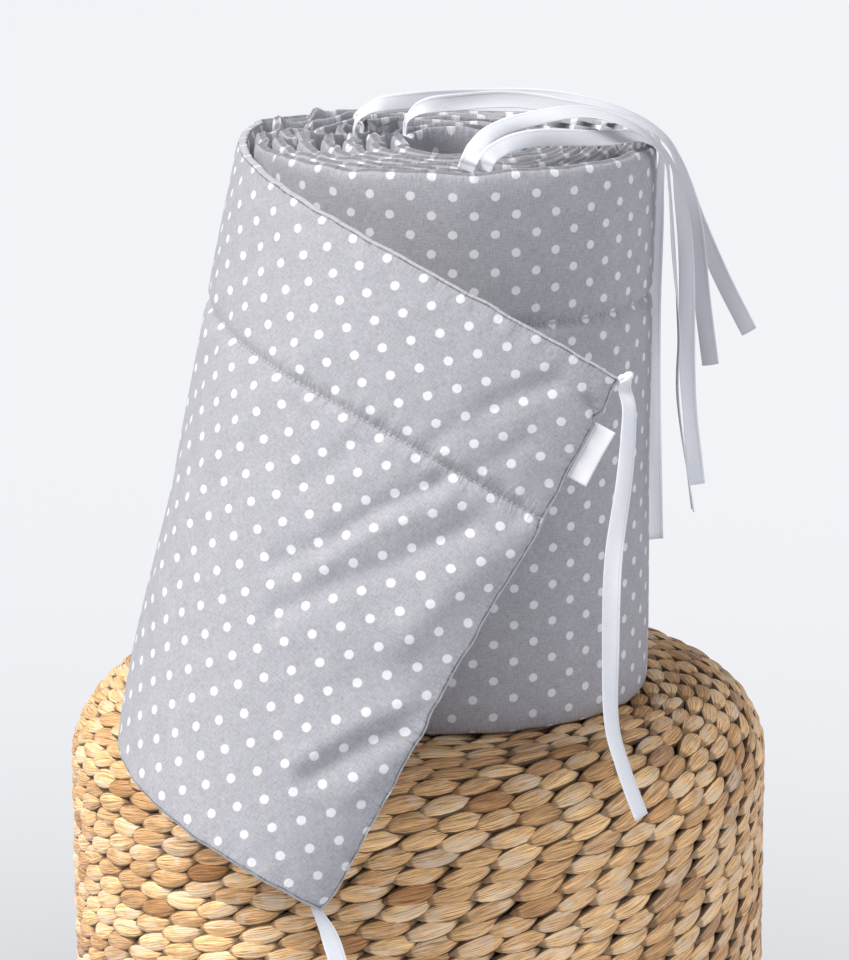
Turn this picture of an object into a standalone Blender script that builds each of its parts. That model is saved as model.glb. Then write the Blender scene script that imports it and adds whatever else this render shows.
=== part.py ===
"""Rolled crib bumper with tie tapes, standing on a round woven pouf.

Metres, Z up, origin at the centre of the pouf's base. The padded strip is wound
on end. Its outer end leaves the roll, droops across the front and hangs its
lower corner past the pouf's front edge.
"""

import math

import bpy
from mathutils import Matrix, Vector

# Pouf
POUF_RADIUS = 0.191
POUF_HEIGHT = 0.360
POUF_SHOULDER = 0.045
POUF_FOOT = 0.022
POUF_FACETS = 90
ARC_STEPS = 6

# Padded strip: its height when hung on a crib, and its profile across
STRIP_HEIGHT = 0.300
STRIP_PROFILE = (
    (-0.1500, 0.0013),
    (-0.1410, 0.0032),
    (-0.1050, 0.0040),
    (-0.0100, 0.0040),
    (0.0560, 0.0036),
    (0.0690, 0.0019),
    (0.0820, 0.0036),
    (0.1240, 0.0037),
    (0.1420, 0.0030),
    (0.1500, 0.0013),
)

# Wound part
ROLL_CENTRE = (0.015, -0.020)
ROLL_RADIUS = 0.1065
CORE_RADIUS = 0.0290
CORE_OFFSET = (0.012, -0.013)
TURN_PITCH = 0.0105
ROLL_GAP = 0.0003
SECTION_STEP = 0.0135
UNROLL_ANGLE = math.radians(97.0)

# Free end: its curve and twist at even steps along its length
FLAP_LENGTH = 0.475
FLAP_CURVE = (8.43, 7.58, 4.88, 5.90, 7.77, 8.07, 8.30)
FLAP_TWIST = (0.00, 0.86, -2.51, -2.47, -2.30, -1.85, 0.43)
FLAP_SECTIONS = 38
FLAP_STEPS = 240
FLAP_OVERRUN = 0.10

# Tie tapes
TAPE_WIDTH = 0.0092
TAPE_THICK = 0.0010
TAPE_GAP = 0.0004
TAPE_RISES = (0.0, 0.0025, 0.0060)
TAPE_SPANS = 3

# Label sewn into the free end's edge
LABEL_TOP = 0.125
LABEL_LENGTH = 0.031
LABEL_REACH = 0.0105
LABEL_THICK = 0.0010

# Each tape's path: x, y, z and the angle of its width, 0 along Y and 90 across
TAPES = {
    "tie_long_front": (
        (-0.0310, -0.0150, 0.6720, 25),
        (-0.0230, -0.0130, 0.6775, 45),
        (-0.0080, -0.0070, 0.6790, 60),
        (0.0280, 0.0060, 0.6795, 65),
        (0.0710, 0.0060, 0.6790, 55),
        (0.1080, 0.0020, 0.6720, 35),
        (0.1320, 0.0100, 0.6580, 10),
        (0.1430, 0.0120, 0.6370, 30),
        (0.1520, 0.0120, 0.6100, 60),
        (0.1650, 0.0120, 0.5800, 80),
        (0.1810, 0.0120, 0.5490, 90),
    ),
    "tie_long_back": (
        (-0.0330, -0.0010, 0.6700, 15),
        (-0.0240, 0.0070, 0.6730, 35),
        (0.0010, 0.0250, 0.6730, 50),
        (0.0440, 0.0280, 0.6720, 50),
        (0.0880, 0.0310, 0.6690, 40),
        (0.1180, 0.0320, 0.6640, 15),
        (0.1320, 0.0320, 0.6480, 15),
        (0.1310, 0.0310, 0.6190, 50),
        (0.1290, 0.0300, 0.5630, 75),
        (0.1300, 0.0300, 0.4950, 80),
        (0.1320, 0.0300, 0.4270, 80),
    ),
    "tie_core": (
        (-0.0050, -0.0195, 0.6720, 30),
        (0.0030, -0.0190, 0.6780, 60),
        (0.0200, -0.0170, 0.6800, 75),
        (0.0490, -0.0190, 0.6820, 70),
        (0.0810, -0.0220, 0.6780, 55),
        (0.1170, -0.0140, 0.6690, 20),
        (0.1350, -0.0070, 0.6550, 10),
        (0.1430, -0.0050, 0.6360, 40),
        (0.1490, -0.0040, 0.6110, 75),
        (0.1540, -0.0040, 0.5700, 85),
        (0.1590, -0.0040, 0.5340, 90),
    ),
    "tie_rim_wide": (
        (0.0370, -0.1080, 0.6700, 65),
        (0.0440, -0.1030, 0.6715, 65),
        (0.0630, -0.0880, 0.6715, 70),
        (0.0950, -0.0660, 0.6690, 50),
        (0.1190, -0.0400, 0.6650, 15),
        (0.1340, -0.0245, 0.6500, 12),
        (0.1400, -0.0220, 0.6280, 50),
        (0.1440, -0.0220, 0.5960, 70),
        (0.1450, -0.0240, 0.5380, 70),
        (0.1470, -0.0260, 0.5080, 60),
        (0.1510, -0.0280, 0.4730, 80),
    ),
    "tie_rim_thin": (
        (0.0210, -0.1060, 0.6740, 60),
        (0.0300, -0.0970, 0.6800, 60),
        (0.0530, -0.0790, 0.6810, 55),
        (0.0850, -0.0660, 0.6830, 40),
        (0.1120, -0.0580, 0.6740, 15),
        (0.1290, -0.0480, 0.6570, 8),
        (0.1330, -0.0430, 0.6390, 8),
        (0.1360, -0.0420, 0.6040, 6),
        (0.1390, -0.0430, 0.5610, 4),
        (0.1390, -0.0440, 0.5240, 0),
        (0.1480, -0.0460, 0.4630, 0),
    ),
    "tie_flap_top": (
        (0.1070, -0.1790, 0.5470, 85),
        (0.1040, -0.1830, 0.5150, 85),
        (0.0990, -0.1860, 0.4730, 85),
        (0.0980, -0.1860, 0.4250, 80),
        (0.0990, -0.1860, 0.3880, 70),
        (0.1050, -0.1860, 0.3640, 70),
        (0.1150, -0.1860, 0.3360, 75),
    ),
    "tie_flap_bottom": (
        (-0.0450, -0.2450, 0.2940, 85),
        (-0.0390, -0.2470, 0.2740, 70),
        (-0.0350, -0.2480, 0.2480, 60),
        (-0.0330, -0.2480, 0.2170, 60),
        (-0.0320, -0.2480, 0.1790, 70),
        (-0.0270, -0.2480, 0.1350, 80),
        (-0.0230, -0.2480, 0.0960, 80),
    ),
}
# Turns counted in from the unrolling point, for the tapes sewn to the roll's rim
RIM_TAPE_TURNS = {
    "tie_long_front": 4.800,
    "tie_long_back": 4.834,
    "tie_core": 6.830,
    "tie_rim_wide": 1.480,
    "tie_rim_thin": 1.500,
}


def clear_scene():
    for obj in list(bpy.data.objects):
        bpy.data.objects.remove(obj, do_unlink=True)


def make_material(name, colour, roughness):
    material = bpy.data.materials.new(name)
    material.use_nodes = True
    shader = material.node_tree.nodes["Principled BSDF"]
    shader.inputs["Base Color"].default_value = (*colour, 1.0)
    shader.inputs["Roughness"].default_value = roughness
    return material


def make_object(name, points, faces, material):
    mesh = bpy.data.meshes.new(name)
    mesh.from_pydata([tuple(p) for p in points], [], faces)
    mesh.materials.append(material)
    mesh.validate()
    mesh.update()
    obj = bpy.data.objects.new(name, mesh)
    bpy.context.scene.collection.objects.link(obj)
    return obj


def between(table, share):
    """The value of an evenly spaced table at a share of its length."""
    place = min(max(share, 0.0), 1.0) * (len(table) - 1)
    low = min(int(place), len(table) - 2)
    part = place - low
    return table[low] * (1.0 - part) + table[low + 1] * part


def sweep(name, sections, material):
    """A closed body through sections that all run the same way round.

    Each section lists its front points and then its back points in reverse, so
    the two ends close with quads between the front and the back.
    """
    size = len(sections[0])
    points = [point for section in sections for point in section]
    faces = []
    for row in range(len(sections) - 1):
        for i in range(size):
            j = (i + 1) % size
            a = row * size
            b = a + size
            faces.append((a + i, b + i, b + j, a + j))
    last = (len(sections) - 1) * size
    for i in range(size // 2 - 1):
        k = size - 1 - i
        faces.append((i, i + 1, k - 1, k))
        faces.append((last + i, last + k, last + k - 1, last + i + 1))
    return make_object(name, points, faces, material)


# ---- pouf -----------------------------------------------------------------


def pouf_profile():
    """Radius and height pairs from the base centre's rim up to the flat top."""
    profile = []
    for i in range(ARC_STEPS + 1):
        angle = math.radians(-90.0 + 90.0 * i / ARC_STEPS)
        radius = POUF_RADIUS - POUF_FOOT + POUF_FOOT * math.cos(angle)
        height = POUF_FOOT + POUF_FOOT * math.sin(angle)
        profile.append((radius, height))
    for i in range(ARC_STEPS + 1):
        angle = math.radians(90.0 * i / ARC_STEPS)
        radius = POUF_RADIUS - POUF_SHOULDER + POUF_SHOULDER * math.cos(angle)
        height = POUF_HEIGHT - POUF_SHOULDER + POUF_SHOULDER * math.sin(angle)
        profile.append((radius, height))
    return profile


def build_pouf():
    profile = pouf_profile()
    points = []
    faces = []
    for radius, height in profile:
        for i in range(POUF_FACETS):
            angle = 2.0 * math.pi * i / POUF_FACETS
            points.append((radius * math.cos(angle), radius * math.sin(angle), height))
    for row in range(len(profile) - 1):
        for i in range(POUF_FACETS):
            j = (i + 1) % POUF_FACETS
            a = row * POUF_FACETS
            b = a + POUF_FACETS
            faces.append((a + i, a + j, b + j, b + i))
    top = (len(profile) - 1) * POUF_FACETS
    faces.append(tuple(reversed(range(POUF_FACETS))))
    faces.append(tuple(top + i for i in range(POUF_FACETS)))
    make_object("pouf", points, faces, make_material("straw", (0.45, 0.29, 0.15), 0.75))


# ---- padded strip -----------------------------------------------------------


def spiral_point(angle):
    """Middle of the wound strip at an angle counted back from the unrolling point."""
    radius = ROLL_RADIUS - TURN_PITCH * angle / (2.0 * math.pi)
    depth = (ROLL_RADIUS - radius) / (ROLL_RADIUS - CORE_RADIUS)
    shift = max(depth, 0.0) ** 1.5
    turn = UNROLL_ANGLE - angle
    x = ROLL_CENTRE[0] + CORE_OFFSET[0] * shift + radius * math.cos(turn)
    y = ROLL_CENTRE[1] + CORE_OFFSET[1] * shift + radius * math.sin(turn)
    return Vector((x, y, POUF_HEIGHT + ROLL_GAP + STRIP_HEIGHT / 2.0))


def spiral_frame(angle):
    """Point, direction along the strip and direction up it, on the wound part."""
    ahead = spiral_point(max(angle - 0.01, 0.0))
    behind = spiral_point(angle + 0.01)
    return spiral_point(angle), (ahead - behind).normalized(), Vector((0.0, 0.0, 1.0))


def wound_angles():
    """Angles of the wound sections, one strip step apart, inner end first."""
    total = 2.0 * math.pi * (ROLL_RADIUS - CORE_RADIUS) / TURN_PITCH
    angles = []
    angle = SECTION_STEP / ROLL_RADIUS
    while angle < total:
        angles.append(angle)
        radius = ROLL_RADIUS - TURN_PITCH * angle / (2.0 * math.pi)
        angle += SECTION_STEP / radius
    return list(reversed(angles))


class FreeEnd:
    """The unrolled end: a flat strip bent about lines that lean across it."""

    def __init__(self):
        point, along, up = spiral_frame(0.0)
        self.step = (FLAP_LENGTH + FLAP_OVERRUN) / FLAP_STEPS
        self.points = [point]
        self.alongs = [along]
        self.ups = [up]
        for i in range(FLAP_STEPS):
            share = (i + 0.5) * self.step / FLAP_LENGTH
            bend = up * between(FLAP_CURVE, share) + along * between(FLAP_TWIST, share)
            half = Matrix.Rotation(bend.length * self.step / 2.0, 3, bend.normalized())
            whole = Matrix.Rotation(bend.length * self.step, 3, bend.normalized())
            point = point + (half @ along) * self.step
            along = (whole @ along).normalized()
            up = (whole @ up).normalized()
            self.points.append(point)
            self.alongs.append(along)
            self.ups.append(up)

    def lean(self, s):
        share = s / FLAP_LENGTH
        return between(FLAP_TWIST, share) / between(FLAP_CURVE, share)

    def pick(self, values, s):
        place = min(max(s / self.step, 0.0), FLAP_STEPS - 1e-6)
        low = int(place)
        return values[low].lerp(values[low + 1], place - low)

    def surface(self, s, v):
        """Point and outward normal at s along the strip and v above its middle."""
        t = s
        for _ in range(30):
            t = 0.5 * t + 0.5 * (s - v * self.lean(t))
            t = min(max(t, 0.0), FLAP_LENGTH + FLAP_OVERRUN)
        along = self.pick(self.alongs, t).normalized()
        up = self.pick(self.ups, t).normalized()
        lean = self.lean(t)
        missed = s - (t + v * lean)
        point = self.pick(self.points, t) + (up + along * lean) * v + along * missed
        return point, along.cross(up).normalized(), along


def strip_section(surface_at):
    """One section of the strip: front points up it, then back points down it."""
    front = []
    back = []
    for v, half in STRIP_PROFILE:
        point, normal = surface_at(v)
        front.append(point + normal * half)
        back.append(point - normal * half)
    return front + list(reversed(back))


def wound_surface(angle):
    point, along, up = spiral_frame(angle)
    normal = along.cross(up)
    return lambda v: (point + up * v, normal)


def build_bumper(free_end):
    sections = [strip_section(wound_surface(angle)) for angle in wound_angles()]
    for i in range(FLAP_SECTIONS + 1):
        s = FLAP_LENGTH * i / FLAP_SECTIONS
        sections.append(strip_section(lambda v, s=s: free_end.surface(s, v)[:2]))
    cloth = make_material("spotted_cotton", (0.42, 0.42, 0.46), 0.85)
    sweep("bumper", sections, cloth)


# ---- tapes and label --------------------------------------------------------


def smooth_path(knots):
    """Points of a smooth curve through the knots, with any extra values along."""
    path = []
    last = len(knots) - 1
    for i in range(last):
        before = knots[max(i - 1, 0)]
        start = knots[i]
        end = knots[i + 1]
        after = knots[min(i + 2, last)]
        for k in range(TAPE_SPANS):
            t = k / TAPE_SPANS
            row = []
            for a, b, c, d in zip(before, start, end, after):
                value = 2.0 * b + (c - a) * t + (2.0 * a - 5.0 * b + 4.0 * c - d) * t * t
                row.append(0.5 * (value + (3.0 * b - a - 3.0 * c + d) * t * t * t))
            path.append(row)
    path.append(list(knots[last]))
    return path


def rim_root(turns):
    """Upright start of a tape on the rim, just above the strip's top edge."""
    point, along, up = spiral_frame(2.0 * math.pi * turns)
    root = point + up * (STRIP_HEIGHT / 2.0 + TAPE_GAP)
    lean = math.degrees(math.atan2(abs(along.x), abs(along.y)))
    return tuple((root.x, root.y, root.z + rise, lean) for rise in TAPE_RISES)


def corner_roots(free_end):
    """Starts of the tapes at the free end's two corners, clear of its edges."""
    corner, normal, along = free_end.surface(FLAP_LENGTH, STRIP_HEIGHT / 2.0)
    top = corner + Vector((TAPE_WIDTH / 2.0 + TAPE_GAP, 0.0, -TAPE_GAP))
    s = FLAP_LENGTH - TAPE_WIDTH / 2.0
    edge, normal, along = free_end.surface(s, -STRIP_HEIGHT / 2.0)
    down = along.cross(normal).normalized()
    low = edge + down * TAPE_GAP
    return {
        "tie_flap_top": tuple(
            (top.x, top.y, top.z - drop, 90) for drop in TAPE_RISES
        ),
        "tie_flap_bottom": tuple(
            (*(low + down * drop), 90) for drop in TAPE_RISES
        ),
    }


def build_tape(name, knots, material):
    rows = smooth_path(knots)
    points = [Vector(row[:3]) for row in rows]
    sections = []
    across = Vector((0.0, 1.0, 0.0))
    for i, row in enumerate(rows):
        along = points[min(i + 1, len(points) - 1)] - points[max(i - 1, 0)]
        along.normalize()
        level = (across - along * along.dot(across)).normalized()
        side = along.cross(level)
        angle = math.radians(row[3])
        width = (level * math.cos(angle) + side * math.sin(angle)) * (TAPE_WIDTH / 2.0)
        thick = along.cross(width).normalized() * (TAPE_THICK / 2.0)
        p = points[i]
        sections.append([p - width + thick, p + width + thick, p + width - thick, p - width - thick])
    return sweep(name, sections, material)


def build_tapes(free_end):
    tape = make_material("white_tape", (0.86, 0.86, 0.88), 0.8)
    roots = corner_roots(free_end)
    for name, turns in RIM_TAPE_TURNS.items():
        roots[name] = rim_root(turns)
    for name, knots in TAPES.items():
        build_tape(name, roots[name] + knots, tape)


def build_label(free_end):
    white = make_material("label_satin", (0.9, 0.9, 0.9), 0.6)
    sections = []
    for i in range(4):
        reach = TAPE_GAP + LABEL_REACH * i / 3.0
        ends = []
        for v in (LABEL_TOP, LABEL_TOP - LABEL_LENGTH):
            point, normal, along = free_end.surface(FLAP_LENGTH, v)
            ends.append((point + along * reach, normal * (LABEL_THICK / 2.0)))
        (top, lift), (low, sink) = ends
        sections.append([low + sink, top + lift, top - lift, low - sink])
    sweep("label", sections, white)


def main():
    clear_scene()
    build_pouf()
    free_end = FreeEnd()
    build_bumper(free_end)
    build_tapes(free_end)
    build_label(free_end)


main()
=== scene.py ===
import math

import bpy
import numpy as np
from bpy.props import FloatProperty, FloatVectorProperty, IntProperty, PointerProperty
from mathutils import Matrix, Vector


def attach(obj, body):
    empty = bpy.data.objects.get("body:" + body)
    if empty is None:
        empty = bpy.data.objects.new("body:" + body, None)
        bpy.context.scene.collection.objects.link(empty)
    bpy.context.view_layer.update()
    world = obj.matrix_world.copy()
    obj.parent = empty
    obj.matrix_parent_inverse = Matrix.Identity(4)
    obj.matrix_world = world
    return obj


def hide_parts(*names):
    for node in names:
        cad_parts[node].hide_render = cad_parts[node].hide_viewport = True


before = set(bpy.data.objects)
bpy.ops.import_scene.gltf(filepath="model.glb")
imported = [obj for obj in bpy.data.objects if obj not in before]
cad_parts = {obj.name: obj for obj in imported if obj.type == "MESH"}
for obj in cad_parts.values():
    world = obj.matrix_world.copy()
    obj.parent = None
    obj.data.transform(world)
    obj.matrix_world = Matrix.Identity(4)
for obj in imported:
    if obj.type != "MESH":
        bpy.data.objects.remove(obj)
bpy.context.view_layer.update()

bl_info = {
    "name": "Rolled crib bumper",
    "version": (1, 0, 0),
    "blender": (4, 5, 0),
    "location": "3D View > Sidebar > Bumper",
    "description": "Padded spotted cotton bumper rolled up on a woven straw pouf",
    "category": "Object",
}

MM = 0.001
FULL_WAVE = 6.283

# Pouf
POUF_RADIUS = 0.191
POUF_HEIGHT = 0.360
POUF_SHOULDER = 0.045
POUF_FOOT = 0.022

# Padded strip as it is wound and unrolled, the same sizes as the solids
STRIP_HEIGHT = 0.300
ROLL_CENTRE = np.array((0.015, -0.020))
ROLL_RADIUS = 0.1065
CORE_RADIUS = 0.0290
CORE_OFFSET = np.array((0.012, -0.013))
TURN_PITCH = 0.0105
ROLL_GAP = 0.0003
UNROLL_ANGLE = math.radians(97.0)
WOUND_LENGTH = 3.130
FLAP_LENGTH = 0.475
FLAP_STEPS = 240
FLAP_OVERRUN = 0.10
SEAM_PLACE = 0.069
GATHER_STEP = 0.0125
END_GATHER_STEP = 0.0135

# Bend and twist at even steps along the loose end, from a fit to its outline in the photo
FLAP_CURVE = (8.43, 7.58, 4.88, 5.90, 7.77, 8.07, 8.30)
FLAP_TWIST = (0.00, 0.86, -2.51, -2.47, -2.30, -1.85, 0.43)

# Grid of the strip: fine on its last turn and loose end, coarser further in
LAST_TURN = 0.68
WOUND_STEP = 0.0046
LAST_TURN_STEP = 0.0038
FLAP_STEP = 0.0029
HEIGHT_STEP = 0.0046
EDGE_STEPS = (0.0, 0.0003, 0.0008, 0.0016, 0.0028, 0.0046, 0.0076, 0.0120)
SEAM_STEPS = (0.0006, 0.0014, 0.0028, 0.0048, 0.0080, 0.0120)
LABEL_STEPS = (-0.0020, -0.0004, 0.0010, 0.0024, 0.0040, 0.0058, 0.0078)

# Edges of the strip: reach of the padding's swell, and the back face's roll past the stitches
SWELL_REACH = 0.0042
SWELL_EDGE = 0.03
THINNEST = 0.00015
END_ROLL = 0.0025
RIM_ROLL = 0.0014
EDGE_LIFT = 0.0021
EDGE_PINCH, EDGE_PINCH_REACH = 0.0007, 0.0003
NOTCH_DEPTH = 0.0015
CORNER_DRAW = 0.0020

# Top rim of the wound turns: tents at the left, a rise behind, a dip at the front right
TENT_PLACE, TENT_SPREAD, TENT_STEP = (math.radians(d) for d in (168.0, 34.0, 19.0))
TENT_OUT = 0.0052
TENT_RISE = 0.0066
BACK_PLACE, BACK_SPREAD = math.radians(112.0), math.radians(45.0)
BACK_RISE = 0.0040
DIP_PLACE, DIP_SPREAD = math.radians(303.0), math.radians(24.0)
DIP_DEPTH = 0.0090
RIGHT_BULGE = 0.0032
RIGHT_BULGE_TOP = 0.0018

# Loose end: how it bellies, curls and sags, and how much its edge is drawn in
BELLY_OUT = 0.0040
BELLY_IN = 0.0030
CURL_START, CURL_REACH = 0.390, 0.080
CURL_OUT = 0.0090
SAG_DEPTH = 0.0070
CUT_DEPTH = 0.0044

# Folds of the loose end in mm: height, width, then places along and up the strip
FLAP_FOLDS = (
    (-3.4, 5, ((422.5, 64), (401.5, 35.5), (386, 7.5), (366.5, -15))),
    (2, 5.2, ((429, 56), (404, 24), (388, -5))),
    (-3.2, 5.5, ((443, 48), (421.5, 16.5), (400, -9.5), (379, -36))),
    (4.2, 11.5, ((473.5, 61), (456, 35), (447, 12), (440, -15))),
    (-0.9, 6, ((452, -21.5), (437, -35.5), (420.5, -57))),
    (3.2, 6.2, ((456, -44), (442, -61), (426, -90))),
    (-3, 5.6, ((460, -56), (448, -71.5), (434, -96))),
    (2.4, 7.5, ((470, -52), (462, -72), (454, -93))),
    (-2.8, 5.6, ((445, 132.5), (429.5, 113.5), (417, 93.5), (412, 78))),
    (-1.8, 4.8, ((448, 101), (439, 83))),
    (-2, 7, ((381, 65), (360, 26))),
    (1.8, 4.6, ((416.5, 94.2), (416.2, 73.3))),
    (2.4, 11, ((330, 90), (300, 10), (290, -60))),
    (-2.2, 12, ((260, 120), (240, 20), (230, -80))),
    (-2.6, 1.9, ((476, 126.2), (469, 130.5), (463, 135))),
    (1.6, 2.2, ((476, 130.2), (470, 134.5), (465, 138.5))),
)

# Where the printed repeats fall below, at and above the loose end's middle, from a fit to the
# spots in the photo. Round the wound turns they follow straight lines from the same fit.
PRINT_ALONG = (-0.15, 0.22, 0.25, 0.30, 0.35, 0.40, 0.45, 0.475)
PRINT_HEIGHT = 0.12
PRINT_ROWS = (
    (-7.15, 10.22, 11.10, 12.92, 15.08, 17.45, 19.93, 21.17),
    (-7.15, 9.89, 10.87, 12.81, 15.02, 17.39, 19.80, 20.99),
    (-7.15, 9.43, 10.51, 12.58, 14.87, 17.25, 19.62, 20.76),
)
PRINT_RISES = (
    (-5.98, -6.29, -6.18, -6.00, -5.87, -5.78, -5.76, -5.78),
    (0.05, 0.06, 0.12, 0.21, 0.27, 0.29, 0.25, 0.20),
    (6.09, 6.10, 6.14, 6.19, 6.23, 6.23, 6.19, 6.15),
)
PRINT_WOUND_ALONG = (47.5, -0.028)
PRINT_WOUND_UP = (50.3, 0.053)

# Tie tapes on the solids' own paths: places in mm, from points picked on the photo at depths
# chosen one by one, and the angle of the tape's width
TAPE_WIDTH = 0.0092
TAPE_GAP = 0.0004
TAPE_RISES = (0.0, 0.0025, 0.0060)
TAPES = {
    "tie_long_front": (
        (-31, -15, 672, 25), (-23, -13, 677.5, 45), (-8, -7, 679, 60), (28, 6, 679.5, 65),
        (71, 6, 679, 55), (108, 2, 672, 35), (132, 10, 658, 10), (143, 12, 637, 30),
        (152, 12, 610, 60), (165, 12, 580, 80), (181, 12, 549, 90),
    ),
    "tie_long_back": (
        (-33, -1, 670, 15), (-24, 7, 673, 35), (1, 25, 673, 50), (44, 28, 672, 50),
        (88, 31, 669, 40), (118, 32, 664, 15), (132, 32, 648, 15), (131, 31, 619, 50),
        (129, 30, 563, 75), (130, 30, 495, 80), (132, 30, 427, 80),
    ),
    "tie_core": (
        (-5, -19.5, 672, 30), (3, -19, 678, 60), (20, -17, 680, 75), (49, -19, 682, 70),
        (81, -22, 678, 55), (117, -14, 669, 20), (135, -7, 655, 10), (143, -5, 636, 40),
        (149, -4, 611, 75), (154, -4, 570, 85), (159, -4, 534, 90),
    ),
    "tie_rim_wide": (
        (40, -106, 669, 75), (50, -98.5, 672.5, 70), (66, -87, 673, 70), (95, -66, 669, 50),
        (119, -40, 665, 15), (134, -24.5, 650, 12), (140, -22, 628, 50), (144, -22, 596, 70),
        (145, -24, 538, 70), (147, -26, 508, 60), (151, -28, 473, 80),
    ),
    "tie_rim_thin": (
        (30, -104, 670.5, 75), (38, -95, 676.5, 65), (55, -80, 680.5, 60), (85, -66, 683, 40),
        (112, -58, 674, 15), (129, -48, 657, 8), (133, -43, 639, 8), (136, -42, 604, 6),
        (139, -43, 561, 4), (139, -44, 524, 0), (148, -46, 463, 0),
    ),
    "tie_flap_top": (
        (106.5, -180, 547, 58), (104.5, -183.5, 515, 64), (99, -186, 473, 84),
        (98, -186, 425, 80), (99, -186, 388, 62), (105, -186, 364, 48), (115, -186, 336, 40),
    ),
    "tie_flap_bottom": (
        (-45, -245, 294, 85), (-39, -247, 274, 70), (-35, -248, 248, 60), (-33, -248, 217, 60),
        (-32, -248, 179, 70), (-27, -248, 135, 80), (-23, -248, 96, 80),
    ),
}
RIM_TAPE_TURNS = {
    "tie_long_front": 4.800,
    "tie_long_back": 4.834,
    "tie_core": 6.830,
    "tie_rim_wide": 1.489,
    "tie_rim_thin": 1.505,
}

KNOTS = ("tie_core", "tie_flap_top")

# Painted light and shade on each tape from its root over the bend to its end, and how narrow its
# root
# painted shade where the tapes lie over the top, painted light on the tails lit from behind
TAPE_PAINTED_LIGHT = {
    "tie_long_front": (0.92, 0.76, 0.74, 0.72, 0.78),
    "tie_long_back": (0.90, 0.74, 0.86, 1.10, 1.12),
    "tie_core": (0.96, 0.74, 0.74, 0.72, 0.76),
    "tie_rim_wide": (1.00, 0.76, 0.72, 0.86, 1.08),
    "tie_rim_thin": (1.02, 0.78, 0.70, 0.80, 0.82),
    "tie_flap_top": (0.96, 0.98, 1.00, 1.00, 1.00),
    "tie_flap_bottom": (1.00, 1.00, 1.00, 1.00, 1.00),
}
TAPE_NECKS = {"tie_rim_wide": 1.0, "tie_rim_thin": 1.0, "tie_flap_top": 0.80}
USUAL_NECK = 0.42
TAPE_CUP = 0.0009
TAPE_FOLD = 0.0030
TAPE_SHARES = np.array((-1.0, -0.96, -0.80, -0.5, 0.0, 0.5, 0.80, 0.96, 1.0))
PATH_SPANS = 9
KNOT_WIDTH = 0.0031
KNOT_LENGTH = 0.0046
KNOT_TONE = 0.98

# Blank label in the loose end's edge
LABEL_TOP = 0.125
LABEL_LENGTH = 0.031
LABEL_REACH = 0.0105
LABEL_HALF_THICKNESS = 0.0005


# ---- settings ----


def colour_setting(name, description, default):
    return FloatVectorProperty(name=name, description=description, default=default,
                               subtype="COLOR", size=3, min=0.0, max=1.0)


def length_setting(name, description, default, low, high):
    return FloatProperty(name=name, description=description, default=default,
                         min=low, max=high, unit="LENGTH")


def angle_setting(name, description, degrees):
    return FloatProperty(name=name, description=description,
                         default=math.radians(degrees), subtype="ANGLE")


def number_setting(name, description, default, low=0.0, high=1000.0):
    return FloatProperty(name=name, description=description, default=default, min=low, max=high)


class StageSettings(bpy.types.PropertyGroup):
    camera_distance: length_setting(
        "Camera distance", "From the pouf's middle to the camera", 2.30, 0.5, 10.0)
    camera_height: length_setting(
        "Camera height", "Height of the camera above the floor", 1.041, 0.0, 5.0)
    camera_tilt: angle_setting("Camera tilt", "How far the camera looks down", 13.98)
    lens: number_setting(
        "Lens", "Focal length in millimetres on a 36 mm sensor", 162.0, 20.0, 400.0)
    floor_colour: colour_setting("Floor", "Colour of the pale floor", (0.646, 0.655, 0.674))
    sky_colour: colour_setting(
        "Sky", "Colour of the soft light from all round", (0.89, 0.925, 1.0))
    sky_strength: number_setting("Sky strength", "Strength of the soft light", 0.24)
    key_strength: number_setting("Key strength", "Strength of the broad light from the left", 4.05)
    key_spread: angle_setting(
        "Key spread", "How wide the broad light is, which softens shadows", 26.0)
    fill_strength: number_setting(
        "Fill strength", "Strength of the faint light from the right", 1.05)


class BumperSettings(bpy.types.PropertyGroup):
    cloth_colour: colour_setting("Cloth", "Colour of the woven ground", (0.408, 0.405, 0.438))
    spot_colour: colour_setting("Spots", "Colour of the printed spots", (0.83, 0.83, 0.86))
    spot_size: length_setting("Spot size", "Width of one spot", 0.0046, 0.0005, 0.05)
    spot_along: length_setting(
        "Spots along", "Repeat of the spots along the strip", 0.0210, 0.002, 0.2)
    spot_up: length_setting("Spots up", "Repeat of the spots up the strip", 0.0199, 0.002, 0.2)
    padding: length_setting("Padding", "Half the strip's thickness", 0.0040, 0.001, 0.02)
    pucker: length_setting(
        "Pucker", "Depth of the gathers beside the stitching", 0.0006, 0.0, 0.005)
    wrinkle: number_setting(
        "Wrinkle", "Depth of the folds of the loose end, as a share", 0.86, 0.0, 3.0)


class TieSettings(bpy.types.PropertyGroup):
    tape_colour: colour_setting("Tape", "Colour of the cotton tape", (0.85, 0.865, 0.91))
    tape_thickness: length_setting(
        "Tape thickness", "Thickness of the folded tape", 0.0006, 0.0002, 0.005)
    label_colour: colour_setting("Label", "Colour of the blank satin label", (0.80, 0.80, 0.825))


class PoufSettings(bpy.types.PropertyGroup):
    row_pitch: length_setting("Row pitch", "Height of one twined row", 0.0096, 0.004, 0.05)
    leaf_pitch: length_setting(
        "Leaf pitch", "Distance between the leaves of a row", 0.0232, 0.006, 0.1)
    leaf_lean: angle_setting("Leaf lean", "How far a leaf leans out of its row", 14.5)
    straw_light: colour_setting("Light straw", "Colour of the palest leaves", (0.98, 0.665, 0.345))
    straw_dark: colour_setting("Dark straw", "Colour of the darkest leaves", (0.40, 0.185, 0.062))
    seed: IntProperty(
        name="Seed", description="Changes which leaves are pale or dark", default=7, min=0)


# ---- mesh helpers ----


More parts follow.
